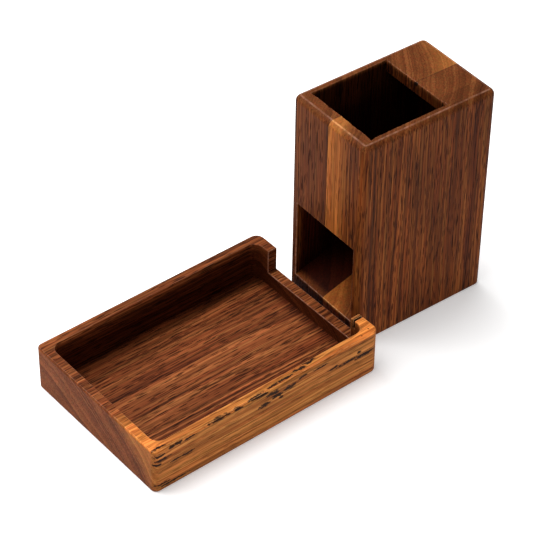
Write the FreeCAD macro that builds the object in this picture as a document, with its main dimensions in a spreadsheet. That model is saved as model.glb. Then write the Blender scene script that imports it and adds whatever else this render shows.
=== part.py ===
"""Travel dice tower with its rolling tray, cut from solid wood.

The tower is two half shells, milled from the inside and glued face to face on the middle plane.
A die dropped in the well at the top lands on a sloped baffle, falls behind it onto the ramp and
rolls out of the exit, over the low sill of the tray and into the tray's pocket.

Frame: millimetres, +Z up, +Y from the tray towards the tower, +X to the right when looking along
+Y.  The origin is the bottom centre of the whole set as it stands in use.
"""
import FreeCAD, Part
import os

import Sketcher
from FreeCAD import Vector

NAME_COLUMN = "A"
SIZE_COLUMN = "B"
TOLERANCE = 1e-4          # mm, places nearer than this are the same

SIZES = {
    # tower, outside
    "tower_width": 33.2,
    "tower_depth": 49.4,
    "tower_height": 74.2,
    "tower_round": 2.1,        # radius of every outer edge
    "foot_round": 0.6,         # radius of the edges the tower stands on
    # tower, walls around the die's path
    "side_wall": 3.15,
    "front_wall": 4.8,
    "rear_wall": 3.2,
    "well_length": 27.4,       # mouth of the well, front to rear
    "lid_thickness": 3.9,      # roof over the rear shaft
    "cutter_radius": 3.175,    # inside corners left by a quarter-inch cutter
    # baffle under the well
    "baffle_root": 57.0,       # height of its top face at the front wall
    "baffle_reach": 22.0,      # its tip, from the tower's front face
    "baffle_slope": 27.0,      # degrees below level
    "baffle_tip": 4.5,         # height of the tip's end face
    # exit and ramp
    "exit_top": 35.5,
    "throat_length": 10.0,     # level ceiling behind the exit
    "ramp_edge": 7.7,
    "ramp_slope": 17.3,        # degrees above level, going in
    "overrun": 2.0,            # how far a cut runs out past an outer face
    # tray
    "tray_width": 57.15,
    "tray_length": 83.0,
    "tray_height": 15.6,
    "tray_wall": 3.2,
    "tray_end_wall": 3.4,      # the notched wall next to the tower
    "tray_floor": 2.3,
    "tower_end_corner": 2.9,   # outer corners in plan, next to the tower
    "near_end_corner": 1.9,    # at the end away from the tower
    "tray_round": 0.6,         # outer top and bottom edges
    "rim_round": 0.3,          # inner edge of the rim
    "sill_height": 7.2,
    "notch_width": 38.6,
    # split in the rim beside the notch
    "split_from_middle": 20.45,
    "split_width": 0.65,
    "split_depth": 3.1,
    # how the two stand in use
    "end_gap": 1.95,           # tray's end face to the tower's front face
    "tower_offset": 0.2,       # tower's middle plane from the tray's
    "tower_turn": 2.16,        # degrees, clockwise seen from above
}

# Derived sizes, as expressions on the sheet.
HALF_WIDTH = "Sizes.tower_width / 2"
REAR_INSIDE = "Sizes.tower_depth - Sizes.rear_wall"
WELL_BACK = "Sizes.front_wall + Sizes.well_length"
LID_UNDERSIDE = "Sizes.tower_height - Sizes.lid_thickness"
BAFFLE_TIP_TOP = ("Sizes.baffle_root - (Sizes.baffle_reach - Sizes.front_wall)"
                  " * tan(Sizes.baffle_slope * 1 deg)")
RAMP_REAR = f"Sizes.ramp_edge + ({REAR_INSIDE}) * tan(Sizes.ramp_slope * 1 deg)"
TOWER_REACH = ("(Sizes.tower_depth - Sizes.tower_round) * cos(Sizes.tower_turn * 1 deg)"
               " + (Sizes.tower_width / 2 - Sizes.tower_round) * sin(Sizes.tower_turn * 1 deg)"
               " + Sizes.tower_round")
SET_LENGTH = f"(Sizes.tray_length + Sizes.end_gap + {TOWER_REACH})"

doc = FreeCAD.newDocument("dice_tower")


def make_sheet():
    """Driving dimensions, one named cell each."""
    sheet = doc.addObject("Spreadsheet::Sheet", "Sizes")
    for row, (name, size) in enumerate(SIZES.items(), start=1):
        sheet.set(f"{NAME_COLUMN}{row}", name)
        sheet.set(f"{SIZE_COLUMN}{row}", str(size))
        sheet.setAlias(f"{SIZE_COLUMN}{row}", name)
    doc.recompute()
    return sheet


def new_body(name):
    body = doc.addObject("PartDesign::Body", name)
    body.Label = name
    return body


def origin_plane(body, role):
    return next(part for part in body.Origin.OriginFeatures if part.Role == role)


def size_of(holder, expression):
    """Value of an expression on the sheet, in millimetres."""
    value = holder.evalExpression(expression)
    return float(getattr(value, "Value", value))


def pin_corner(sketch, line, kind, axis, expression):
    """Hold the start of a line on a sketch axis, or at a bound distance from the sketch origin."""
    if expression == "0":
        sketch.addConstraint(Sketcher.Constraint("PointOnObject", line, 1, axis))
        return
    distance = Sketcher.Constraint(kind, -1, 1, line, 1, size_of(sketch, expression))
    sketch.setExpression(f"Constraints[{sketch.addConstraint(distance)}]", expression)


def add_profile(body, name, role, corners):
    """Closed outline on one of the body's origin planes; corners are pairs of expressions."""
    sketch = body.newObject("Sketcher::SketchObject", name)
    sketch.AttachmentSupport = [(origin_plane(body, role), "")]
    sketch.MapMode = "FlatFace"
    spots = [Vector(size_of(sketch, across), size_of(sketch, up), 0) for across, up in corners]
    following = spots[1:] + spots[:1]
    for start, end in zip(spots, following):
        sketch.addGeometry(Part.LineSegment(start, end))
    for line, (across, up) in enumerate(corners):
        next_line = (line + 1) % len(corners)
        sketch.addConstraint(Sketcher.Constraint("Coincident", line, 2, next_line, 1))
        pin_corner(sketch, line, "DistanceX", -2, across)
        pin_corner(sketch, line, "DistanceY", -1, up)
    sketch.Visibility = False
    return sketch


def rectangle(left, bottom, right, top):
    return [(left, bottom), (right, bottom), (right, top), (left, top)]


def add_pad(body, name, profile, length, backwards=False):
    pad = body.newObject("PartDesign::Pad", name)
    pad.Profile = profile
    pad.setExpression("Length", length)
    pad.Reversed = backwards
    doc.recompute()
    return pad


def add_pocket(body, name, profile, length, backwards=False):
    """Cut a profile out of the body; a cut that removes nothing stops the build."""
    before = body.Shape.Volume
    pocket = body.newObject("PartDesign::Pocket", name)
    pocket.Profile = profile
    pocket.setExpression("Length", length)
    pocket.Reversed = backwards
    doc.recompute()
    if pocket.Shape.Volume > before - 1:
        raise RuntimeError(f"{body.Label}: {name} cuts nothing")
    return pocket


def add_fillet(body, name, base, wanted, radius):
    """Round every edge of the base that wanted() picks."""
    edges = enumerate(base.Shape.Edges, start=1)
    names = [f"Edge{number}" for number, edge in edges if wanted(edge)]
    if not names:
        raise RuntimeError(f"{body.Label}: {name} finds no edge")
    fillet = body.newObject("PartDesign::Fillet", name)
    fillet.Base = (base, names)
    fillet.setExpression("Radius", radius)
    doc.recompute()
    return fillet


def near(one, other):
    return abs(one - other) < TOLERANCE


def extent(edge, axis):
    """Low and high end of an edge along one axis of its body."""
    box = edge.BoundBox
    return {"x": (box.XMin, box.XMax), "y": (box.YMin, box.YMax), "z": (box.ZMin, box.ZMax)}[axis]


def lies_at(edge, axis, position):
    """Whether a whole edge lies in the plane at one position along an axis."""
    return all(near(end, position) for end in extent(edge, axis))


def runs_along(edge, axis):
    low, high = extent(edge, axis)
    return high - low > 1


def die_path():
    """Side view of the hollow inside the tower: front to rear, then up."""
    return [
        ("Sizes.front_wall", "Sizes.tower_height + Sizes.overrun"),
        ("Sizes.front_wall", "Sizes.baffle_root"),
        ("Sizes.baffle_reach", BAFFLE_TIP_TOP),
        ("Sizes.baffle_reach", f"{BAFFLE_TIP_TOP} - Sizes.baffle_tip"),
        ("Sizes.throat_length", "Sizes.exit_top"),
        ("-Sizes.overrun", "Sizes.exit_top"),
        ("-Sizes.overrun", "Sizes.ramp_edge"),
        ("0", "Sizes.ramp_edge"),
        (REAR_INSIDE, RAMP_REAR),
        (REAR_INSIDE, LID_UNDERSIDE),
        (WELL_BACK, LID_UNDERSIDE),
        (WELL_BACK, "Sizes.tower_height + Sizes.overrun"),
    ]


def make_tower_half(name, on_left):
    """One half shell: a block rounded outside, with its half of the die's path milled into it."""
    body = new_body(name)
    block = add_profile(body, f"{name}_block", "YZ_Plane",
                        rectangle("0", "0", "Sizes.tower_depth", "Sizes.tower_height"))
    solid = add_pad(body, f"{name}_blank", block, HALF_WIDTH, backwards=on_left)
    path = add_profile(body, f"{name}_path", "YZ_Plane", die_path())
    solid = add_pocket(body, f"{name}_milling", path, f"{HALF_WIDTH} - Sizes.side_wall",
                       backwards=not on_left)

    inside_corners = [
        ("Sizes.front_wall", "Sizes.baffle_root"),
        (REAR_INSIDE, RAMP_REAR),
        (REAR_INSIDE, LID_UNDERSIDE),
    ]
    corners = [(size_of(body, along), size_of(body, up)) for along, up in inside_corners]

    def in_cutter_corner(edge):
        return runs_along(edge, "x") and any(
            lies_at(edge, "y", along) and lies_at(edge, "z", up) for along, up in corners)

    solid = add_fillet(body, f"{name}_cutter_corners", solid, in_cutter_corner,
                       "Sizes.cutter_radius")

    width = size_of(body, HALF_WIDTH)
    depth = size_of(body, "Sizes.tower_depth")
    height = size_of(body, "Sizes.tower_height")
    outer_faces = [("x", -width), ("x", width), ("y", 0), ("y", depth), ("z", 0), ("z", height)]

    def between_outer_faces(edge):
        return sum(lies_at(edge, axis, position) for axis, position in outer_faces) == 2

    def at_foot(edge):
        return lies_at(edge, "z", 0)

    solid = add_fillet(body, f"{name}_rounding", solid,
                       lambda edge: between_outer_faces(edge) and not at_foot(edge),
                       "Sizes.tower_round")
    add_fillet(body, f"{name}_foot", solid,
               lambda edge: at_foot(edge) and not lies_at(edge, "x", 0), "Sizes.foot_round")
    return body


def make_tray(name):
    """Shallow box from one block, open at the tower's end above a low sill."""
    body = new_body(name)
    half_width = "Sizes.tray_width / 2"
    half_length = "Sizes.tray_length / 2"
    outside = add_profile(body, "tray_outline", "XY_Plane",
                          rectangle(f"-{half_width}", f"-{half_length}", half_width, half_length))
    solid = add_pad(body, "tray_blank", outside, "Sizes.tray_height")
    end_face = size_of(body, half_length)

    def upright_at(position):
        return lambda edge: runs_along(edge, "z") and lies_at(edge, "y", position)

    solid = add_fillet(body, "tower_end_corners", solid, upright_at(end_face),
                       "Sizes.tower_end_corner")
    solid = add_fillet(body, "near_end_corners", solid, upright_at(-end_face),
                       "Sizes.near_end_corner")
    solid = add_fillet(body, "tray_edges", solid, lambda edge: not runs_along(edge, "z"),
                       "Sizes.tray_round")

    inner_half = f"{half_width} - Sizes.tray_wall"
    pocket = add_profile(body, "pocket_outline", "XY_Plane",
                         rectangle(f"-({inner_half})", f"-({half_length} - Sizes.tray_wall)",
                                   inner_half, f"{half_length} - Sizes.tray_end_wall"))
    pocket.setExpression("AttachmentOffset.Base.z", "Sizes.tray_floor")
    solid = add_pocket(body, "pocket", pocket, "Sizes.tray_height", backwards=True)
    floor = size_of(body, "Sizes.tray_floor")
    height = size_of(body, "Sizes.tray_height")
    inner_width = size_of(body, inner_half)

    def in_pocket_corner(edge):
        low, high = extent(edge, "z")
        return near(low, floor) and near(high, height)

    def on_inner_rim(edge):
        widest = max(abs(end) for end in extent(edge, "x"))
        return lies_at(edge, "z", height) and widest < inner_width + TOLERANCE

    solid = add_fillet(body, "pocket_corners", solid, in_pocket_corner, "Sizes.cutter_radius")
    solid = add_fillet(body, "rim_edge", solid, on_inner_rim, "Sizes.rim_round")

    notch = add_profile(body, "notch_outline", "XZ_Plane",
                        rectangle("-Sizes.notch_width / 2", "Sizes.sill_height",
                                  "Sizes.notch_width / 2", "Sizes.tray_height + Sizes.overrun"))
    solid = add_pocket(body, "notch", notch, f"{half_length} + Sizes.overrun")
    split_right = "Sizes.split_from_middle + Sizes.split_width"
    split = add_profile(body, "split_outline", "XZ_Plane",
                        rectangle("Sizes.split_from_middle", "Sizes.tray_height - Sizes.split_depth",
                                  split_right, "Sizes.tray_height + Sizes.overrun"))
    add_pocket(body, "split", split, f"{half_length} + Sizes.overrun")
    return body


def place(body, x, y, turn="0"):
    body.setExpression("Placement.Base.x", x)
    body.setExpression("Placement.Base.y", y)
    body.Placement.Rotation.Axis = Vector(0, 0, 1)
    body.setExpression("Placement.Rotation.Angle", turn)


def check_document():
    """Stop if any object failed, or any sub-part is not one sound solid."""
    for item in doc.Objects:
        if {"Invalid", "Error"} & set(item.State):
            raise RuntimeError(f"{item.Label} failed: {item.State}")
    for body in parts:
        if body.Shape.isNull() or not body.Shape.isValid() or len(body.Shape.Solids) != 1:
            raise RuntimeError(f"{body.Label} is not one valid solid")


make_sheet()
tower_halves = [
    make_tower_half("tower_left_half", on_left=True),
    make_tower_half("tower_right_half", on_left=False),
]
tray = make_tray("rolling_tray")
parts = tower_halves + [tray]
for half in tower_halves:
    place(half, "Sizes.tower_offset", f"Sizes.tray_length + Sizes.end_gap - {SET_LENGTH} / 2",
          "-Sizes.tower_turn")
place(tray, "0", f"Sizes.tray_length / 2 - {SET_LENGTH} / 2")
doc.recompute()
check_document()

os.makedirs("parts", exist_ok=True)
for body in parts:
    body.Shape.exportStep(os.path.join("parts", f"{body.Label}.step"))
    box = body.Shape.optimalBoundingBox(False)
    sizes = f"{box.XLength:.3f} x {box.YLength:.3f} x {box.ZLength:.3f} mm"
    print(f"{body.Label}: {sizes}, {body.Shape.Volume:.0f} mm3")
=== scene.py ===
"""Looks of the travel dice tower and its rolling tray: oiled walnut, on a pale floor in soft light.

Blender works in metres in the frame of the CAD model.  Each piece also has its own axes, in
millimetres: x to the right and z up, with y towards the rear from the tower's front face, or towards
the tower with 0 at the tray's end.  The wood is solid procedural texture in these axes: its grain
runs up the tower and along the tray, and its growth rings, pores and sapwood go through each piece,
so that end grain and long grain meet correctly at every edge.
"""

import math

import bmesh
import bpy
from mathutils import Matrix, Vector, noise


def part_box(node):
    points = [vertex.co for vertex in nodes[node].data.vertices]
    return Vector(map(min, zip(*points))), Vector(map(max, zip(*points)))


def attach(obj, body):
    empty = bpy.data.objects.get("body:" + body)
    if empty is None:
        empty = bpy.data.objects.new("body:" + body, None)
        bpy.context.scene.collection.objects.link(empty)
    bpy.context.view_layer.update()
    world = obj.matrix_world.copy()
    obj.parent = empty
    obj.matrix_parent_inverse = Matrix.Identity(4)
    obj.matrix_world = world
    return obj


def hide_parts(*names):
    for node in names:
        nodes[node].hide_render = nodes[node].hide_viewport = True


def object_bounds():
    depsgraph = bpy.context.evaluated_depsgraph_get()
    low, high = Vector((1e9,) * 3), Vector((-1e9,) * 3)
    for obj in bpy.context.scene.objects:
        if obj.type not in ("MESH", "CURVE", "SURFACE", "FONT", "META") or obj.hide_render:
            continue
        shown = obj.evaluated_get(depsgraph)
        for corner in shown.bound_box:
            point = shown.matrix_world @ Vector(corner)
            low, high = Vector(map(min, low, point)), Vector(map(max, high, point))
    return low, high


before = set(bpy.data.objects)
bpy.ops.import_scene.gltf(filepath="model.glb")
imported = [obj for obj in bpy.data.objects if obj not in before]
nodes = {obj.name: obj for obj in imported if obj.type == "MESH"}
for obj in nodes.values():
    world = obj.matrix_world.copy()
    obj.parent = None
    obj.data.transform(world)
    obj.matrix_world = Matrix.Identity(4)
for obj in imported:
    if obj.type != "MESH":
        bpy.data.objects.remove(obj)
cad_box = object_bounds()
MM = 0.001

# Camera: the photograph's angle.
CAMERA_AZIMUTH = 50.48      # degrees, 0 looks along +Y
CAMERA_ELEVATION = 40.53
CAMERA_ROLL = 0.74
CAMERA_DISTANCE = 0.7256
CAMERA_LENS = 156.75        # mm, on a 36 mm sensor
CAMERA_AIM = Vector((-28.39, 19.03, 0.0)) * MM

# Sizes in the pieces' own axes, in millimetres.
TOWER_WIDTH = 33.2
TOWER_DEPTH = 49.4
TOWER_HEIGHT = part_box("tower_left_half")[1].z / MM
SIDE_WALL = 3.15
FRONT_WALL = 4.8
WELL_LENGTH = 27.4
WELL = (SIDE_WALL - TOWER_WIDTH / 2, TOWER_WIDTH / 2 - SIDE_WALL, FRONT_WALL, FRONT_WALL + WELL_LENGTH)
RAMP_EDGE = 7.7             # height of the ramp's front edge
tray_low, tray_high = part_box("rolling_tray")
TRAY_HALF_WIDTH = (tray_high.x - tray_low.x) / 2 / MM
TRAY_LENGTH = (tray_high.y - tray_low.y) / MM
TRAY_HEIGHT = tray_high.z / MM
TRAY_WALL = 3.2
TRAY_END_WALL = 3.4         # the notched wall next to the tower
SILL_HEIGHT = 7.2
NOTCH_HALF_WIDTH = 19.3
SPLIT_MIDDLE = 20.45        # of the split in the right ear, from the tray's middle
EAR_START = 20.4            # where the ear's pale wood starts, from the tray's middle

# Making of the visible pieces.
WELD = 0.002                # mm, vertices nearer than this are one
FLAT = math.radians(0.6)    # faces that meet at less than this are one
SHARP = math.radians(34)    # edges sharper than this are eased
EASED = 0.22                # mm, width of the eased edges
CHIP_STEP = 0.5             # mm, spacing of the points along the well's edge
NEAR_EDGE = 0.3             # mm, points nearer to the well's edge than this crumble
GLUE_FACE = 0.02            # mm, points nearer to the tower's middle than this are glued
WEAR_AND_HIGHLIGHT = "edge_wear_and_highlight"          # attribute of the faces along eased edges, painted pale as wear and as a painted highlight


# ---------------------------------------------------------------------------------- shader kit
class Graph:
    """A material's node tree, with one short call for each kind of node."""

    def __init__(self, name):
        self.material = bpy.data.materials.new(name)
        self.material.use_nodes = True
        self.tree = self.material.node_tree
        self.tree.nodes.clear()

    def node(self, kind, inputs=None, **settings):
        made = self.tree.nodes.new(kind)
        for key, value in settings.items():
            setattr(made, key, value)
        for key, value in (inputs or {}).items():
            self.feed(made.inputs[key], value)
        return made

    def feed(self, socket, value):
        if isinstance(value, bpy.types.NodeSocket):
            self.tree.links.new(value, socket)
        else:
            socket.default_value = value

    def math(self, operation, a, b=0.0):
        return self.node("ShaderNodeMath", {0: a, 1: b}, operation=operation).outputs[0]

    def chain(self, operation, first, others):
        for other in others:
            first = self.math(operation, first, other)
        return first

    def product(self, first, *others):
        return self.chain("MULTIPLY", first, others)

    def total(self, first, *others):
        return self.chain("ADD", first, others)

    def largest(self, first, *others):
        return self.chain("MAXIMUM", first, others)

    def distance(self, value, middle):
        return self.math("ABSOLUTE", self.math("SUBTRACT", value, middle))

    def centred(self, value, reach, middle=0.5):
        return self.product(self.math("SUBTRACT", value, middle), reach)

    def lessened(self, value, share):
        """1 where the value is 0, and less by the share where it is 1."""
        return self.math("SUBTRACT", 1.0, self.product(value, share))

    def vector(self, operation, a, b=(0, 0, 0)):
        made = self.node("ShaderNodeVectorMath", {0: a, 1: b}, operation=operation)
        return made.outputs["Value" if operation in ("DISTANCE", "LENGTH") else "Vector"]

    def join(self, x, y, z=0.0):
        return self.node("ShaderNodeCombineXYZ", {0: x, 1: y, 2: z}).outputs[0]

    def split(self, vector):
        return self.node("ShaderNodeSeparateXYZ", {0: vector}).outputs

    def noise(self, where, scale=1.0, detail=2.0, roughness=0.5, dimensions="3D"):
        made = self.node("ShaderNodeTexNoise", {"Scale": scale, "Detail": detail, "Roughness": roughness},
                         noise_dimensions=dimensions)
        self.feed(made.inputs["W" if dimensions == "1D" else "Vector"], where)
        return made.outputs["Fac"]

    def step(self, value, low, high, smooth=True):
        """0 below low, 1 above high; falls instead of rising where low is the larger."""
        made = self.node("ShaderNodeMapRange", {"Value": value, "From Min": low, "From Max": high},
                         interpolation_type="SMOOTHSTEP" if smooth else "LINEAR")
        return made.outputs[0]

    def blend(self, amount, a, b, mode="MIX"):
        """Colour a, changed towards b.  6, 7 and 2 are the colour sockets of a mix node."""
        made = self.node("ShaderNodeMix", {0: amount, 6: a, 7: b}, data_type="RGBA", blend_type=mode,
                         clamp_factor=True)
        return made.outputs[2]

    def ramp(self, value, stops):
        made = self.node("ShaderNodeValToRGB", {0: value})
        elements = made.color_ramp.elements
        while len(elements) < len(stops):
            elements.new(0.5)
        for element, (place, colour) in zip(elements, stops):
            element.position = place
            element.color = (*colour, 1)
        return made.outputs[0]

    def finish(self, shader):
        out = self.node("ShaderNodeOutputMaterial")
        self.tree.links.new(shader.outputs[0], out.inputs[0])
        return self.material


# ---------------------------------------------------------------------------------- wood
SHEEN = 0.035               # specular level of the dry oil finish
RELIEF_DEPTH = 0.00012      # metres

# Palettes, dark to light.
WALNUT = [(0.0, (0.034, 0.008, 0.0022)), (0.5, (0.116, 0.033, 0.009)), (1.0, (0.225, 0.078, 0.024))]
WALNUT_RED = [(0.0, (0.032, 0.007, 0.0025)), (0.5, (0.150, 0.040, 0.012)), (1.0, (0.350, 0.112, 0.036))]
SAPWOOD = [(0.0, (0.130, 0.040, 0.009)), (0.5, (0.270, 0.090, 0.021)), (1.0, (0.460, 0.175, 0.046))]
HUES = [(0.36, (1.12, 0.84, 0.80)), (0.64, (0.90, 1.10, 0.95))]         # redder to greener
CLOUDS = [(0.34, (0.76, 0.74, 0.73)), (0.66, (1.06, 1.06, 1.06))]

PORE = (0.016, 0.004, 0.002, 1)
# Black of the stains, the glue line, the pin hole and the glue gap; also painted shade in the ear's split.
BLACK_STAIN_AND_SHADE = (0.012, 0.006, 0.004, 1)
DARK_STREAK = (0.030, 0.010, 0.004, 1)
# Pale colours of the rubbed edges: wear, and a painted highlight along the edges.
RUBBED_HIGHLIT_HEARTWOOD = (0.36, 0.18, 0.12, 1)
RUBBED_HIGHLIT_SAPWOOD = (0.85, 0.42, 0.16, 1)
# Tints, which multiply the wood's colour.
WARMER = (1.0, 0.87, 0.66, 1)
DUSKY = (0.55, 0.52, 0.50, 1)
PALE = (2.5, 2.2, 1.9, 1)
SHADE = (0.22, 0.11, 0.10, 1)

# Pores: density across and along the grain, and the share of them that shows.
PORES = [(2.3, 0.20, 0.8), (1.6, 0.12, 0.5)]


class Wood(Graph):
    """A node tree that knows the place in the piece's own axes, and which way the grain runs."""

    def __init__(self, name, origin, turn, grain):
        super().__init__(name)
        self.turn = turn
        place = self.node("ShaderNodeTexCoord").outputs
        moved = self.vector("SUBTRACT", place["Object"], tuple(origin))
        self.place = self.vector("MULTIPLY", self.turned(moved), (1 / MM,) * 3)
        self.x, self.y, self.z = self.split(self.place)
        normal = [self.math("ABSOLUTE", part) for part in self.split(self.turned(place["Normal"]))]
        self.upward = normal[2]
        self.across = self.x
        self.up, self.along = (self.y, self.z) if grain == "z" else (self.z, self.y)
        end_grain = self.step(normal["xyz".index(grain)], 0.05, 0.8)
        self.softer = self.lessened(end_grain, 0.65)

    def turned(self, vector):
        return self.node("ShaderNodeMapping", {"Vector": vector, "Rotation": (0, 0, self.turn)},
                         vector_type="POINT").outputs[0]

    def stretch(self, side, length):
        """The place with the grain direction squeezed, so that noise becomes streaks."""
        return self.join(self.product(self.across, side), self.product(self.up, side),
                         self.product(self.along, length))

    def calmer(self, value, amount):
        return self.math("ADD", 0.5, self.centred(value, amount))


def growth_rings(g, direction, radius):
    """Millimetres across the growth rings: circles round a far centre, drifting along the grain."""
    side, lift = direction
    centre = (-side * radius, -lift * radius, 0)
    ring = g.math("SUBTRACT", g.vector("DISTANCE", g.join(g.across, g.up), centre), radius)
    return g.total(ring, g.centred(g.noise(g.stretch(0.05, 0.010), detail=1.0), 6.0))


def figure(g, ring, fibre):
    """Light and dark of the growth rings and the fibre, 0 to 1."""
    wavy = g.total(ring, g.centred(g.noise(g.stretch(0.6, 0.014), detail=3.0), 1.3))
    bands = g.noise(wavy, 0.35, dimensions="1D")
    lines = g.noise(wavy, 1.6, 3.0, 0.65, "1D")
    lines = g.calmer(lines, g.total(0.35, g.product(g.softer, 0.65)))
    tone = g.total(g.product(bands, 0.20), g.product(lines, 0.34), g.product(fibre, 0.46))
    return g.step(tone, 0.38, 0.62, smooth=False)


def sapwood_share(g, ring, first, last, most):
    edge = g.total(ring, g.centred(g.noise(g.stretch(0.7, 0.03), detail=4.0), 4.0))
    return g.product(g.step(edge, first, last), most)


def pore_dashes(g, fibre):
    """Short dashes along the grain, which are dots on end grain."""
    layers = []
    for side, length, share in PORES:
        bent = g.vector("ADD", g.stretch(side, length), g.join(g.centred(fibre, 1.5), 0.0))
        dots = g.node("ShaderNodeTexVoronoi", {"Vector": bent, "Scale": 1.0})
        core = g.step(dots.outputs["Distance"], 0.38, 0.22)
        chosen = g.math("LESS_THAN", g.split(dots.outputs["Color"])[0], share)
        layers.append(g.product(core, chosen))
    return g.largest(*layers)


def rubbed_and_highlit_edges(g, top):
    """Eased edges rubbed pale, as wear and as a painted highlight, and a thin painted highlight line where
    a wide rounding meets the top.
    """
    # The thin line is a painted highlight; the eased faces get wear and a painted highlight.
    line = g.product(g.step(g.upward, 0.88, 0.94), g.step(g.upward, 0.992, 0.975),
                     g.step(g.z, top - 3.0, top - 2.0))
    eased = g.node("ShaderNodeAttribute", attribute_name=WEAR_AND_HIGHLIGHT).outputs["Fac"]
    patchy = g.step(g.noise(g.place, 0.5, 5.0, 0.7), 0.42, 0.62)
    rubbed_and_highlit = g.largest(g.product(line, 0.5), g.product(eased, 0.8))
    return g.product(rubbed_and_highlit, g.total(0.25, g.product(patchy, 0.6)))


def oiled(g, colour, fibre, pores):
    """Dry oil finish: fibre and pores show in its roughness and in a shallow relief."""
    rough = g.total(0.42, g.product(fibre, 0.16), g.product(pores, 0.2))
    relief = g.math("SUBTRACT", g.product(fibre, 0.3), g.product(pores, g.softer))
    bump = g.node("ShaderNodeBump", {"Height": relief, "Strength": 0.4, "Distance": RELIEF_DEPTH})
    shader = g.node("ShaderNodeBsdfPrincipled",
                    {"Base Color": colour, "Roughness": rough, "Normal": bump.outputs[0]})
    shader.inputs["Specular IOR Level"].default_value = SHEEN
    return g.finish(shader)


def wood(name, axes, top, grain, rings, heart, sap_range, marks, shadow):
    """Oiled walnut.

    axes is where the piece's own axes start, and their turn.  top is the height of its upper edges.
    grain is the axis the grain runs along, "y" or "z".  rings is (direction, radius): the direction
    across the grain in which the growth rings follow each other, and how strongly they curve.
    sap_range says between which ring numbers, in millimetres, heartwood turns to sapwood, and how
    much of it there is at most.
    marks paints what belongs to one piece only, and shadow says which places stay in the dark.
    """
    g = Wood(name, *axes, grain)
    ring = growth_rings(g, *rings)
    fibre = g.calmer(g.noise(g.stretch(1.7, 0.04), 1.0, 4.0, 0.6), g.softer)
    tone = figure(g, ring, fibre)
    sapwood = sapwood_share(g, ring, *sap_range)
    pores = pore_dashes(g, fibre)

    colour = g.blend(sapwood, g.ramp(tone, heart), g.ramp(tone, SAPWOOD))
    colour = g.blend(0.6, colour, g.ramp(g.noise(g.stretch(1.1, 0.03), 1.0, 3.0, 0.6), HUES), "MULTIPLY")
    pore_depth = g.math("SUBTRACT", 0.85, g.product(sapwood, 0.35))
    colour = g.blend(g.product(pores, g.product(pore_depth, g.softer)), colour, PORE)
    colour = g.blend(0.8, colour, g.ramp(g.noise(g.stretch(0.14, 0.045), detail=3.0), CLOUDS), "MULTIPLY")
    colour = marks(g, colour)
    # Rubbed edges, paler on sapwood: wear and a painted highlight.
    colour = g.blend(rubbed_and_highlit_edges(g, top), colour, g.blend(sapwood, RUBBED_HIGHLIT_HEARTWOOD, RUBBED_HIGHLIT_SAPWOOD))
    colour = g.blend(shadow(g), colour, SHADE, "MULTIPLY")
    return oiled(g, colour, fibre, pores)


# ---------------------------------------------------------------------------------- marks and painted shade on the tray
# Black spalt stains in the tray's right wall, seen on its outer side: middle y, middle z, half length
# and half height, in mm, y counted from the tray's near end.
SIDE_STAINS = [
    (42.5, 13.9, 2.6, 0.8), (39.5, 11.2, 2.3, 0.7), (44.0, 12.3, 2.0, 0.9), (48.8, 12.8, 2.6, 0.7),
    (45.5, 10.6, 0.9, 0.5), (53.5, 14.0, 1.6, 0.4), (60.0, 13.8, 3.2, 0.35), (65.5, 10.6, 2.6, 0.5),
    (71.0, 10.0, 4.2, 0.5), (77.5, 9.3, 3.8, 0.7), (75.0, 11.2, 0.8, 0.5), (9.5, 9.3, 4.8, 0.35),
    (8.0, 15.0, 3.2, 0.5), (12.5, 14.8, 2.5, 0.4), (23.0, 15.2, 4.6, 0.4), (30.0, 15.2, 1.6, 0.4),
    (37.5, 15.4, 3.4, 0.4), (2.0, 13.8, 2.2, 0.6), (3.0, 12.0, 2.6, 0.6), (1.0, 10.6, 1.6, 0.5),
    (6.0, 1.7, 5.0, 0.4), (3.0, 2.6, 3.0, 0.35),
]
# The same stains on the rim: middle y, middle x, half length and half width.
RIM_STAINS = [
    (57.3, 26.2, 2.4, 0.6), (54.4, 26.7, 2.8, 0.6), (49.0, 27.3, 3.8, 0.45), (43.0, 27.4, 2.4, 0.4),
    (80.6, 26.0, 0.35, 0.3), (77.0, 27.2, 0.3, 0.3), (3.0, 27.0, 2.4, 0.5),
]


def stained(g, colour, spots, along, across, fray, where):
    """Paints rows of (middle, middle, half length, half width) spots with frayed outlines."""
    reaches = []
    for middle, level, length, width in spots:
        u = g.math("DIVIDE", g.math("SUBTRACT", along, middle), length)
        v = g.math("DIVIDE", g.math("SUBTRACT", across, level), width)
        reach = g.total(g.vector("LENGTH", g.join(u, v)), fray)
        reaches.append(g.step(reach, 1.25, 0.85))
    return g.blend(g.product(g.largest(*reaches), where, 0.97), colour, BLACK_STAIN_AND_SHADE)


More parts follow.
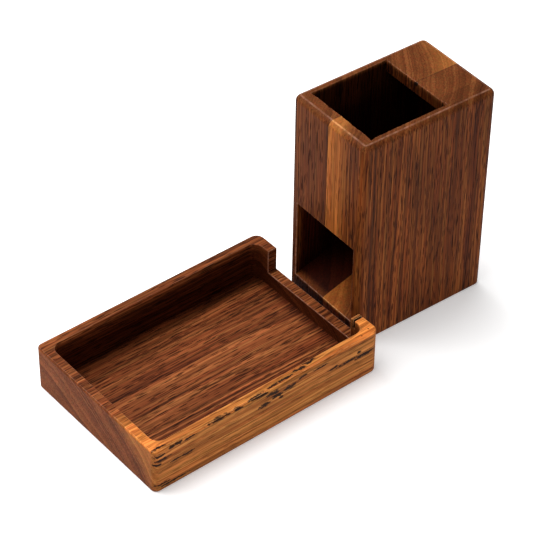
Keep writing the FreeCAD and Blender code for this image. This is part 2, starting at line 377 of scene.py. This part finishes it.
def tray_marks(g, colour):
    """Black stains in the right wall, its paler rim and ear, the near rim, and painted shade in the ear's
    split.
    """
    inner_face = TRAY_HALF_WIDTH - TRAY_WALL
    from_end = g.total(g.y, TRAY_LENGTH)
    fray = g.centred(g.noise(g.stretch(1.5, 0.55), 1.0, 4.0, 0.7), 3.6, 0.46)
    side = g.step(g.x, TRAY_HALF_WIDTH - 1.6, TRAY_HALF_WIDTH - 0.8)
    rim = g.product(g.step(g.x, inner_face - 0.4, inner_face + 0.2),
                    g.step(g.z, TRAY_HEIGHT - 0.8, TRAY_HEIGHT - 0.3))
    ear = g.largest(g.product(g.step(g.x, EAR_START, EAR_START + 1.0), g.step(g.y, -5.0, -3.0)),
                    g.product(g.step(g.y, -16.0, -4.0), rim))
    ear = g.product(ear, g.step(g.z, TRAY_HEIGHT - 0.6, TRAY_HEIGHT - 0.2))
    near_rim = g.product(g.step(g.x, 0.0, 24.0), g.step(g.z, TRAY_HEIGHT - 0.5, TRAY_HEIGHT - 0.1),
                         g.step(from_end, 8.0, 2.0))
    pale = g.largest(g.product(rim, 0.3), g.largest(ear, near_rim))
    colour = g.blend(g.product(pale, 0.7), colour, PALE, "MULTIPLY")
    colour = stained(g, colour, SIDE_STAINS, from_end, g.z, fray, side)
    colour = stained(g, colour, RIM_STAINS, from_end, g.x, fray, rim)
    # The ear's split is painted black: painted shade in the narrow void.
    split = g.product(g.step(g.distance(g.x, SPLIT_MIDDLE), 0.5, 0.36),
                      g.step(g.z, 12.2, 12.8), g.step(g.y, -4.2, -3.2))
    return g.blend(g.product(split, 0.95), colour, BLACK_STAIN_AND_SHADE)


def tray_shadow(g):
    """The pocket's left wall and the inner side of its sill stay in the dark."""
    left_face = TRAY_WALL - TRAY_HALF_WIDTH
    sill_face = -TRAY_END_WALL
    near_face = TRAY_WALL - TRAY_LENGTH
    sideways = g.math("ABSOLUTE", g.x)
    past_sill = g.step(g.y, sill_face + 0.8, sill_face + 0.2)
    wall = g.product(g.step(g.x, left_face - 1.0, left_face - 0.2),
                     g.step(g.x, left_face + 5.8, left_face + 0.2))
    inside = g.product(past_sill, g.step(g.y, near_face - 0.6, near_face))
    sill = g.product(past_sill, g.step(g.y, sill_face - 4.6, sill_face - 0.1))
    sill = g.product(sill, g.step(sideways, TRAY_HALF_WIDTH - 1.5, TRAY_HALF_WIDTH - 3.0))
    below_notch = g.largest(g.step(g.z, SILL_HEIGHT + 0.1, SILL_HEIGHT - 0.5),
                            g.step(sideways, NOTCH_HALF_WIDTH, NOTCH_HALF_WIDTH + 0.5))
    dark = g.largest(g.product(wall, inside), g.product(sill, below_notch))
    return g.product(dark, g.step(g.z, TRAY_HEIGHT, TRAY_HEIGHT - 2.5), 0.76)


# ---------------------------------------------------------------------------------- marks and painted shade on the tower
GLUE_LINE = 0.16            # mm, half width of the dark line where the halves meet
PIN_HOLE = (16.5, 25.6)     # y and z of a pin hole in the right side, mm
GLUE_GAP = (0.4, 32.1, 73.8)     # middle of a dark gap where the glue line meets the well, mm

# Dark streaks up the right side: y, half width in mm, and strength.
DARK_STREAKS = [(5.0, 0.9, 0.6), (10.8, 0.8, 0.35), (17.0, 0.7, 0.3), (22.0, 1.0, 0.4), (35.5, 0.8, 0.25)]


def tower_marks(g, colour):
    """Dark glue line with a gap at the well, a pin hole and dark streaks in the right side."""
    glue = g.step(g.math("ABSOLUTE", g.x), GLUE_LINE, GLUE_LINE / 3)
    colour = g.blend(g.product(glue, 0.6), colour, BLACK_STAIN_AND_SHADE)
    right = g.math("GREATER_THAN", g.x, 10.0)
    pin = g.vector("DISTANCE", g.join(g.y, g.z), (*PIN_HOLE, 0.0))
    colour = g.blend(g.product(right, g.step(pin, 0.42, 0.2)), colour, BLACK_STAIN_AND_SHADE)
    gap = g.vector("DISTANCE", g.place, GLUE_GAP)
    colour = g.blend(g.step(gap, 1.0, 0.5), colour, BLACK_STAIN_AND_SHADE)
    upright = g.step(g.z, TOWER_HEIGHT - 0.3, TOWER_HEIGHT - 2.5)
    colour = g.blend(upright, colour, WARMER, "MULTIPLY")
    colour = g.blend(g.product(right, g.step(g.y, 4.0, 40.0), 0.48), colour, DUSKY, "MULTIPLY")
    bend = g.total(g.y, g.product(g.noise(g.stretch(0.02, 0.03)), 1.6))
    right_face = g.step(g.x, TOWER_WIDTH / 2 - 1.6, TOWER_WIDTH / 2 - 0.6)
    for middle, width, strength in DARK_STREAKS:
        streak = g.product(g.step(g.distance(bend, middle), width, 0.0), right_face, strength)
        colour = g.blend(streak, colour, DARK_STREAK)
    return colour


def tower_shadow(g):
    """The milled shaft and exit stay in the dark, and so does the front below the ramp."""
    half_width = TOWER_WIDTH / 2
    sideways = g.math("ABSOLUTE", g.x)
    inner = g.product(g.step(sideways, half_width - 1.2, half_width - 2.4),
                      g.step(g.y, 0.3, 3.0), g.step(g.y, TOWER_DEPTH - 0.3, TOWER_DEPTH - 3.0),
                      g.step(g.z, 0.3, 4.0), g.step(g.z, TOWER_HEIGHT - 0.1, TOWER_HEIGHT - 1.4))
    lip = g.product(g.step(g.z, RAMP_EDGE + 0.3, RAMP_EDGE - 1.2), g.step(g.y, 1.5, 0.5),
                    g.step(sideways, half_width - 1.0, half_width - 4.0))
    lit_ramp = g.product(g.step(g.x, -0.1, 0.1), g.step(g.z, 17.0, 12.0))
    inner = g.product(inner, g.lessened(lit_ramp, 0.85), g.lessened(g.step(g.z, 60.0, 68.0), 0.38))
    return g.largest(inner, lip)


# ---------------------------------------------------------------------------------- pieces
def tower_axes():
    """Front end of the glue line on the floor, and the tower's turn from the row's +Y."""
    left_low, left_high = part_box("tower_left_half")
    right_low, right_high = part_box("tower_right_half")
    front = Vector((right_low.x, left_low.y, 0))
    rear = Vector((left_high.x, right_high.y, 0))
    line = rear - front
    return front, math.atan2(line.x, line.y)


def chip_depth(place):
    """How far the well's edge has crumbled at a place, both in the tower's own millimetres."""
    x0, x1, y0, y1 = WELL
    slow = noise.noise(Vector((place.x * 0.55, place.y * 0.55, 3.7)))
    fast = abs(noise.noise(Vector((place.x * 1.9, place.y * 1.9, 8.1))))
    corner = min(math.hypot(place.x - x, place.y - y) for x in (x0, x1) for y in (y0, y1))
    rear_middle = max(0.0, 1 - abs(place.x) / 1.5) * (place.y > y1 - 1)
    torn = max(0.0, 1 - corner / 2.5) + rear_middle
    return 0.05 + 0.35 * fast + 1.8 * max(0.0, slow - 0.05) * fast + 0.45 * torn * (0.4 + fast)


def crumble(bm, space):
    """Moves the points of the well's eased edge outward on the top face and down on its walls."""
    x0, x1, y0, y1 = WELL
    to_own = space.inverted()
    for vert in bm.verts:
        own = to_own @ vert.co
        outside = max(x0 - own.x, own.x - x1, y0 - own.y, own.y - y1)
        near_x = min(abs(own.x - x0), abs(own.x - x1)) < NEAR_EDGE
        near_y = min(abs(own.y - y0), abs(own.y - y1)) < NEAR_EDGE
        if TOWER_HEIGHT - own.z > NEAR_EDGE or outside > NEAR_EDGE or not (near_x or near_y):
            continue
        if abs(own.x) < GLUE_FACE:
            continue
        depth = chip_depth(own)
        lowered = min(1.0, (TOWER_HEIGHT - own.z) / EASED)
        outward = Vector((math.copysign(near_x, own.x), math.copysign(near_y, own.y - (y0 + y1) / 2), 0))
        own += outward * depth * (1 - lowered)
        own.z -= depth * lowered
        vert.co = space @ own


def ease_edges(bm, space, is_tower):
    """Eases the sharp outer edges and marks their faces for rubbed wear and a painted highlight, but not
    around the torn well.
    """
    x0, x1, y0, y1 = WELL
    to_own = space.inverted()
    wear_and_highlight = bm.faces.layers.float.new(WEAR_AND_HIGHLIGHT)

    def is_sharp(edge):
        glued = is_tower and all(abs((to_own @ vert.co).x) < GLUE_FACE for vert in edge.verts)
        return edge.is_convex and edge.calc_face_angle() > SHARP and not glued

    def around_well(edge):
        ends = [to_own @ vert.co for vert in edge.verts]
        return is_tower and all(
            abs(end.z - TOWER_HEIGHT) < NEAR_EDGE and x0 - NEAR_EDGE < end.x < x1 + NEAR_EDGE
            and y0 - NEAR_EDGE < end.y < y1 + NEAR_EDGE for end in ends)

    for edge in [edge for edge in bm.edges if is_sharp(edge) and around_well(edge)]:
        cuts = int(edge.calc_length() / (CHIP_STEP * MM))
        bmesh.ops.subdivide_edges(bm, edges=[edge], cuts=cuts)
    sharp = [edge for edge in bm.edges if is_sharp(edge)]
    eased = bmesh.ops.bevel(bm, geom=sharp, offset=EASED * MM, segments=2, profile=0.5,
                            affect="EDGES", clamp_overlap=True)
    for face in eased["faces"]:
        face[wear_and_highlight] = 0.0 if around_well(face.edges[0]) else 1.0


def eased_copy(node, space, is_tower):
    """A copy of a CAD piece with its sharp edges eased, and the edge of the tower's well crumbled.

    space turns a point in the piece's own millimetres into one in the frame.
    """
    bm = bmesh.new()
    bm.from_mesh(nodes[node].data)
    bmesh.ops.remove_doubles(bm, verts=bm.verts, dist=WELD * MM)
    bmesh.ops.dissolve_limit(bm, angle_limit=FLAT, verts=bm.verts, edges=bm.edges)
    ease_edges(bm, space, is_tower)
    if is_tower:
        crumble(bm, space)
    mesh = bpy.data.meshes.new(node + "_wood")
    bm.to_mesh(mesh)
    bm.free()
    for polygon in mesh.polygons:
        polygon.use_smooth = True
    mesh.set_sharp_from_angle(angle=SHARP)
    piece = bpy.data.objects.new(node + "_wood", mesh)
    bpy.context.scene.collection.objects.link(piece)
    piece.modifiers.new("flat_faces", "WEIGHTED_NORMAL").keep_sharp = True
    return piece


def make_pieces():
    front, turn = tower_axes()
    tray_end = Vector(((tray_low.x + tray_high.x) / 2, tray_high.y, 0))
    tower_space = Matrix.Translation(front) @ Matrix.Rotation(-turn, 4, "Z") @ Matrix.Scale(MM, 4)
    tray_space = Matrix.Translation(tray_end) @ Matrix.Scale(MM, 4)
    tower_rings = ((0.82, 0.57), 70)
    tray_rings = ((0.55, 0.83), 60)
    left_wood = wood("walnut_left", (front, turn), TOWER_HEIGHT, "z", tower_rings, WALNUT,
                     (25, 32, 0.8), tower_marks, tower_shadow)
    right_wood = wood("walnut_right", (front, turn), TOWER_HEIGHT, "z", tower_rings, WALNUT,
                      (10, 3, 1.0), tower_marks, tower_shadow)
    tray_wood = wood("walnut_tray", (tray_end, 0.0), TRAY_HEIGHT, "y", tray_rings, WALNUT_RED,
                     (17, 22, 1.0), tray_marks, tray_shadow)
    looks = {
        "tower_left_half": ("tower", "tower_left_wood", tower_space, left_wood),
        "tower_right_half": ("tower", "tower_right_wood", tower_space, right_wood),
        "rolling_tray": ("tray", "tray_wood", tray_space, tray_wood),
    }
    for node, (body, slot, space, material) in looks.items():
        piece = eased_copy(node, space, body == "tower")
        piece.data.materials.append(material)
        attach(piece, body)
        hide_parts(node)


# ---------------------------------------------------------------------------------- stage
def floor_white():
    g = Graph("floor_white")
    shader = g.node("ShaderNodeBsdfPrincipled", {"Base Color": (0.88, 0.88, 0.88, 1), "Roughness": 0.8,
                                                 "Emission Color": (1, 1, 1, 1), "Emission Strength": 0.3})
    return g.finish(shader)


def make_stage():
    low, high = cad_box
    size = 40 * (high - low).length
    bpy.ops.mesh.primitive_plane_add(size=size, location=(0, 0, low.z))
    floor = bpy.context.object
    floor.name = "floor"
    floor.data.materials.append(floor_white())


def add_light(name, location, aim, size, power):
    data = bpy.data.lights.new(name, "AREA")
    data.shape = "RECTANGLE"
    data.size, data.size_y = size
    data.energy = power
    lamp = bpy.data.objects.new(name, data)
    lamp.location = location
    lamp.visible_camera = False
    lamp.rotation_euler = (Vector(aim) - Vector(location)).to_track_quat("-Z", "Y").to_euler()
    bpy.context.scene.collection.objects.link(lamp)


def make_light():
    world = bpy.data.worlds.new("studio")
    world.use_nodes = True
    world.node_tree.nodes["Background"].inputs["Color"].default_value = (1, 1, 1, 1)
    world.node_tree.nodes["Background"].inputs["Strength"].default_value = 0.25
    bpy.context.scene.world = world
    centre = (0, 0, 0.03)
    add_light("overhead", (-0.40, -0.15, 0.85), centre, (1.1, 1.1), 19)
    add_light("right", (0.9, -0.05, 0.06), centre, (0.8, 0.12), 3.5)


def make_camera():
    azimuth, elevation = math.radians(CAMERA_AZIMUTH), math.radians(CAMERA_ELEVATION)
    back = Vector((math.sin(azimuth) * math.cos(elevation), -math.cos(azimuth) * math.cos(elevation),
                   math.sin(elevation)))
    data = bpy.data.cameras.new("camera")
    data.lens = CAMERA_LENS
    data.sensor_width = 36
    camera = bpy.data.objects.new("camera", data)
    look = (-back).to_track_quat("-Z", "Y").to_matrix().to_4x4()
    roll = Matrix.Rotation(math.radians(CAMERA_ROLL), 4, "Z")
    camera.matrix_world = Matrix.Translation(CAMERA_AIM + back * CAMERA_DISTANCE) @ look @ roll
    bpy.context.scene.collection.objects.link(camera)
    bpy.context.scene.camera = camera


make_camera()
make_pieces()
make_stage()
make_light()
bpy.context.scene.view_settings.view_transform = "Standard"
